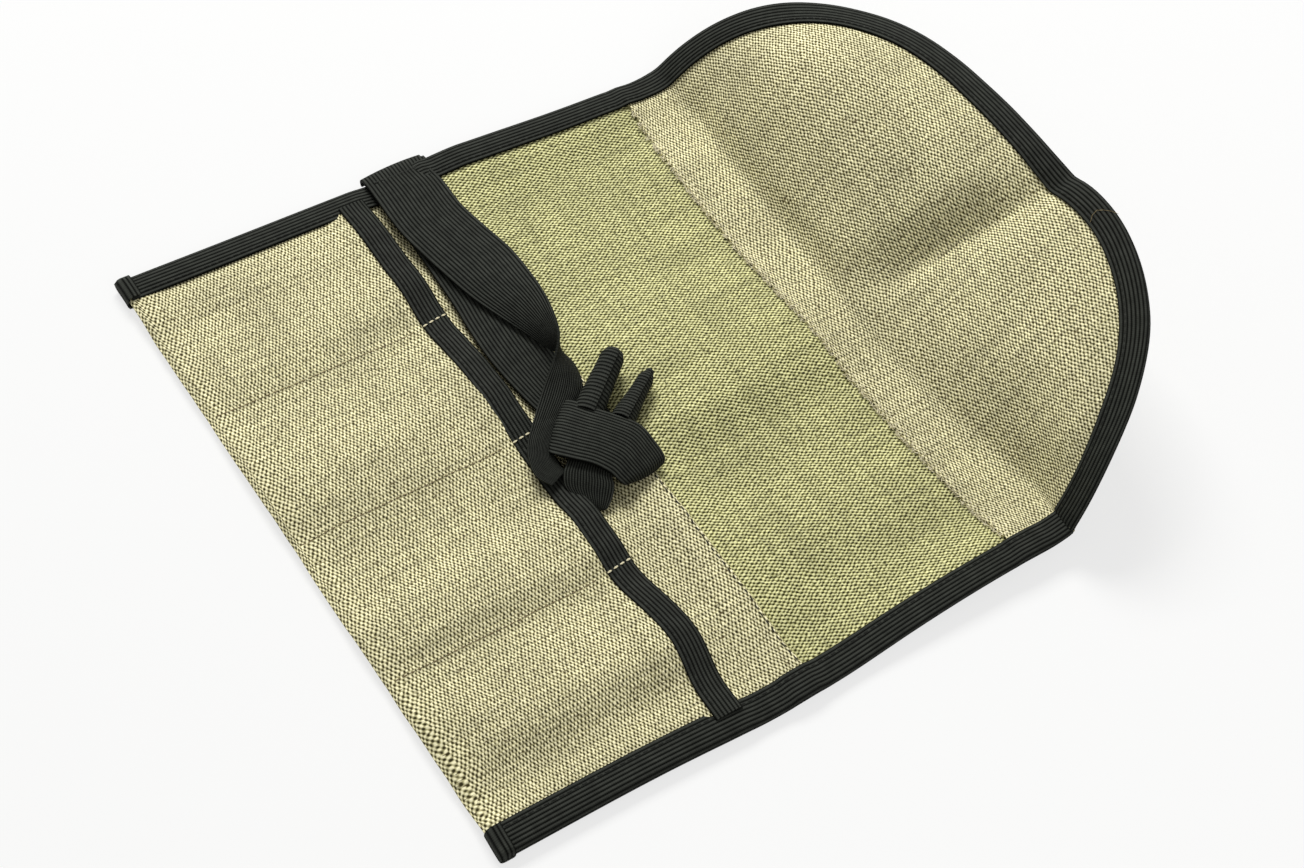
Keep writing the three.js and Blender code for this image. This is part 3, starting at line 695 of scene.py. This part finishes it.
# Fray: short loose ends of the canvas's pale yarn that stand out along the raw edge at seam 2,
# and one long brown fibre that has come loose and lies caught over the flap's binding.
chance = random.Random(4)
for span in spans:
    spots = []
    for k in range(int((span[2] - span[1]) * 2.4)):
        y = chance.uniform(max(span[1], -112.0), min(span[2], 112.0))
        at = place(*lie(seam_2 + chance.uniform(-1.2, 0.5), y, cloth / 2 + chance.uniform(0.6, 1.2)))
        heading = Vector((chance.uniform(-1, 0.4), chance.uniform(-1, 1), chance.uniform(0, 0.5)))
        spots.append((at, heading, upright))
    piece = stitch_row(f"seam_2_fray_{span[0]}", spots, 2.4, 0.34, pale_thread)
    roll_with(piece)

fibre = []
for k in range(6):
    at, _ = lay_edge(353.0 + 2.6 * math.sin(0.9 * k), 1.0 + 1.9 * k)
    fibre.append(at + Vector((0, 0, 0.35)) / 1000)
spots = [((a + b) / 2, b - a, upright) for a, b in zip(fibre, fibre[1:])]
piece = stitch_row("loose_fibre", spots, 3.2, 0.22, brown_thread)
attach(piece, "flap_strip_2")
place(*lie(root_end, -0.5 * pitch, 0))
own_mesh(piece)

# Stitches of the edge binding: black cotton thread, one row along the tape's inner edge, through both of its legs.
# The rows on the flap are cut where the binding is cut.
def on_edge(s):
    return [c * 1000 - o for c, o in zip(lay_edge(s, seam_in)[0], (fold_x, middle_y, -0.1))]


for side, i in (("near", 1), ("far", 4)):
    start, end = (4.0, side_end) if side == "near" else (edge_length - side_end, edge_length - 4.0)
    piece = stitch_row(f"edge_stitches_{side}", stitch_spots(start, end, 2.8, on_edge), 2.1, 0.5, black_thread)
    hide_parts(f"edge_thread_{side}")
    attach(piece, f"column_{i}")
for i in range(1, 5):
    piece = stitch_row(f"flap_stitches_{i}", stitch_spots(cuts[i - 1], cuts[i], 2.8, on_edge), 2.1, 0.5, black_thread)
    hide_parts(f"flap_edge_thread_{i}")
    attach(piece, f"flap_strip_{i}")
    place(*lie(root_end, (i - 2.5) * pitch, 0))
    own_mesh(piece)

# Tie: one length of the ribbed tape, sewn to the far long edge at its middle. Both halves come over the edge and run to
# one overhand knot; the upper one turns over once on its way, and the two ends are rolled up like scrolls by wear.
def edge_point(points, t):
    """A smooth line through the points, by their number."""
    t = min(max(t, 0.0), 1.0) * (len(points) - 1)
    k = min(int(t), len(points) - 2)
    a, b, c, d = (Vector(points[min(max(k + n, 0), len(points) - 1)]) for n in (-1, 0, 1, 2))
    t -= k
    return 0.5 * (2 * b + (c - a) * t + (2 * a - 5 * b + 4 * c - d) * t ** 2 + (3 * b - a - 3 * c + d) * t ** 3)


def ribbon(name, pairs, along, crown, carrier, nodes=()):
    """Tape between a left and a right edge line. crown(p) is how far its middle stands up between them."""
    left, right = [p[0] for p in pairs], [p[1] for p in pairs]
    steps = 60
    middle = [(edge_point(left, k / steps) + edge_point(right, k / steps)) / 2 for k in range(steps + 1)]
    length = [0.0]
    for a, b in zip(middle, middle[1:]):
        length.append(length[-1] + (b - a).length)

    def lay(p, q):
        a, b = edge_point(left, p), edge_point(right, p)
        before, after = ([edge_point(side, p + step) for side in (left, right)] for step in (-0.01, 0.01))
        ahead = (after[0] + after[1] - before[0] - before[1]).normalized()
        up = ahead.cross(b - a).normalized()
        at = a.lerp(b, q) + up * crown(p) * (1 - (2 * q - 1) ** 2)
        k = min(int(p * steps), steps - 1)
        far = length[k] + (length[k + 1] - length[k]) * (p * steps - k)
        return place(*at), (far / 1000, q * tape_width / 1000)

    piece = spread(name, along, 16, lay, tape, black_tape)
    widths = [(edge_point(left, k / steps) - edge_point(right, k / steps)).length for k in range(steps + 1)]
    if nodes:
        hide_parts(*nodes)
    if carrier == "over_edge":
        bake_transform(piece)
    else:
        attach(piece, carrier)
    return piece


def upper_crown(p):
    """The upper half arches a little, lies flat where it turns over, and is hollow where it enters the knot."""
    return 0.6 - 0.6 * ease(0.42, 0.52, p) - 1.6 * ease(0.6, 0.7, p) * (1 - 0.85 * ease(0.75, 0.92, p))


ribbon("tie_upper", (
    ((96.0, 125.4, 0.9), (121.0, 126.2, 0.9)),
    ((95.6, 125.6, 3.4), (120.4, 126.6, 3.4)),
    ((95.0, 123.6, 6.2), (119.8, 124.8, 6.2)),
    ((94.9, 118.5, 6.9), (119.4, 119.5, 6.9)),
    ((94.7, 111.6, 7.0), (120.5, 111.1, 7.0)),
    ((94.6, 96.6, 7.0), (120.5, 97.6, 7.2)),
    ((96.4, 84.0, 6.8), (122.1, 84.4, 8.2)),
    ((98.6, 72.1, 6.8), (123.8, 69.8, 10.0)),
    ((101.5, 58.9, 6.8), (122.3, 55.5, 13.5)),
    ((105.9, 45.9, 7.0), (119.9, 43.9, 17.0)),
    ((109.3, 36.3, 7.4), (116.7, 34.4, 19.5)),
    ((111.6, 28.6, 8.0), (113.9, 27.1, 20.5)),
    ((113.3, 24.3, 8.6), (112.1, 23.2, 20.0)),
    ((115.2, 21.5, 8.4), (109.5, 20.0, 18.0)),
    ((116.2, 17.8, 7.6), (105.7, 16.5, 15.5)),
    ((115.6, 12.5, 6.8), (100.3, 12.0, 13.0)),
    ((113.1, 7.9, 6.4), (94.6, 6.7, 11.2)),
    ((106.9, 3.5, 6.6), (87.4, -0.3, 10.2)),
    ((97.2, -3.3, 7.4), (82.5, -5.9, 10.2)),
    ((90.6, -9.7, 8.2), (79.9, -11.3, 10.0)),
    ((88.5, -15.3, 8.6), (79.2, -16.8, 9.4)),
    ((89.6, -18.6, 8.0), (82.3, -21.4, 8.0)),
), 110, upper_crown, "over_edge", ("tie_root", "tie_upper_tail"))
ribbon("tie_lower", (
    ((96.8, 124.6, 1.6), (121.6, 125.4, 1.6)),
    ((96.8, 124.8, 3.6), (121.6, 125.6, 3.6)),
    ((96.8, 122.6, 5.3), (121.6, 123.4, 5.3)),
    ((96.6, 110.0, 5.4), (121.5, 110.0, 5.4)),
    ((96.4, 93.6, 5.0), (121.4, 94.0, 5.2)),
    ((96.0, 78.0, 4.6), (121.0, 79.0, 5.0)),
    ((95.4, 61.2, 4.4), (120.4, 62.0, 5.0)),
    ((94.2, 49.2, 4.6), (119.2, 51.0, 5.0)),
    ((93.4, 32.9, 5.2), (118.2, 35.0, 5.2)),
    ((95.0, 14.0, 5.6), (117.5, 16.0, 5.0)),
    ((98.0, -2.0, 5.4), (118.0, -2.0, 5.0)),
    ((100.0, -16.0, 5.6), (118.0, -20.0, 5.4)),
), 70, lambda p: 0.4, "over_edge", ("tie_lower_tail",))
ribbon("tie_knot_face", (
    ((91.6, -8.1, 7.0), (106.2, 5.2, 7.5)),
    ((88.1, -10.5, 10.0), (104.5, 4.8, 10.0)),
    ((88.5, -13.4, 12.0), (105.8, 2.3, 12.0)),
    ((92.4, -18.3, 13.0), (109.2, -3.8, 13.5)),
    ((97.1, -23.1, 13.0), (113.8, -9.3, 13.5)),
    ((100.8, -27.8, 11.5), (119.7, -16.8, 13.0)),
    ((102.3, -31.2, 10.0), (121.2, -24.1, 11.5)),
    ((103.8, -32.8, 8.4), (121.8, -30.1, 9.0)),
    ((105.9, -31.4, 6.0), (120.0, -30.9, 6.0)),
    ((106.7, -25.8, 5.0), (118.9, -24.7, 5.0)),
), 48, lambda p: 0.9, "tie", ("tie_knot",))
ribbon("tie_knot_under", (
    ((99.2, -9.2, 8.0), (110.3, -20.7, 8.0)),
    ((95.2, -13.2, 9.4), (104.3, -25.7, 9.4)),
    ((89.9, -17.8, 10.0), (101.4, -28.8, 9.5)),
    ((87.9, -19.8, 9.2), (100.5, -31.6, 8.5)),
    ((86.6, -23.1, 7.2), (98.4, -34.1, 6.5)),
    ((87.8, -28.1, 5.5), (95.6, -36.0, 5.0)),
    ((90.1, -31.0, 4.6), (94.1, -35.7, 4.2)),
    ((92.3, -28.6, 4.2), (96.2, -33.4, 4.0)),
), 36, lambda p: 0.9, "tie")


def scroll(name, base, end, radius, turns, node):
    """A rolled tape end: the tape's width lies along the roll, so its cords go round it."""
    base, end = Vector(base), Vector(end)
    axis = (end - base).normalized()
    side = axis.cross(Vector((0, 0, 1))).normalized()
    up = side.cross(axis)
    around = 2 * math.pi * turns * radius(0.4) * 0.85

    def lay(p, q):
        turn = 2 * math.pi * turns * p
        r = radius(q) * (1 - 0.36 * p)
        at = base + (end - base) * q + (side * math.cos(turn + 1.2) + up * math.sin(turn + 1.2)) * r
        return place(*at), (p * around / 1000, q * tape_width / 1000)

    piece = spread(name, int(30 * turns), 24, lay, -0.6, black_tape)
    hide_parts(node)
    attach(piece, "tie")


scroll("tie_scroll_thick", (108.0, -3.6, 9.0), (129.3, 12.2, 12.8),
       lambda q: 5.7 - 1.0 * ease(0, 0.9, q) - 1.2 * ease(0.9, 1.0, q), 2.2, "tie_end_thick")
scroll("tie_scroll_thin", (116.7, -11.7, 9.5), (136.4, 0.6, 11.5),
       lambda q: 4.8 - 1.5 * ease(0, 0.75, q) - 1.7 * ease(0.8, 1.0, q), 1.8, "tie_end_thin")

piece = stitch_row("tie_tack", stitch_spots(97.5, 118.5, 2.6, lambda s: (s, 119.6, 7.4)), 2.0, 0.5, black_thread)
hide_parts("tie_tack_thread")
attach(piece, "column_4")
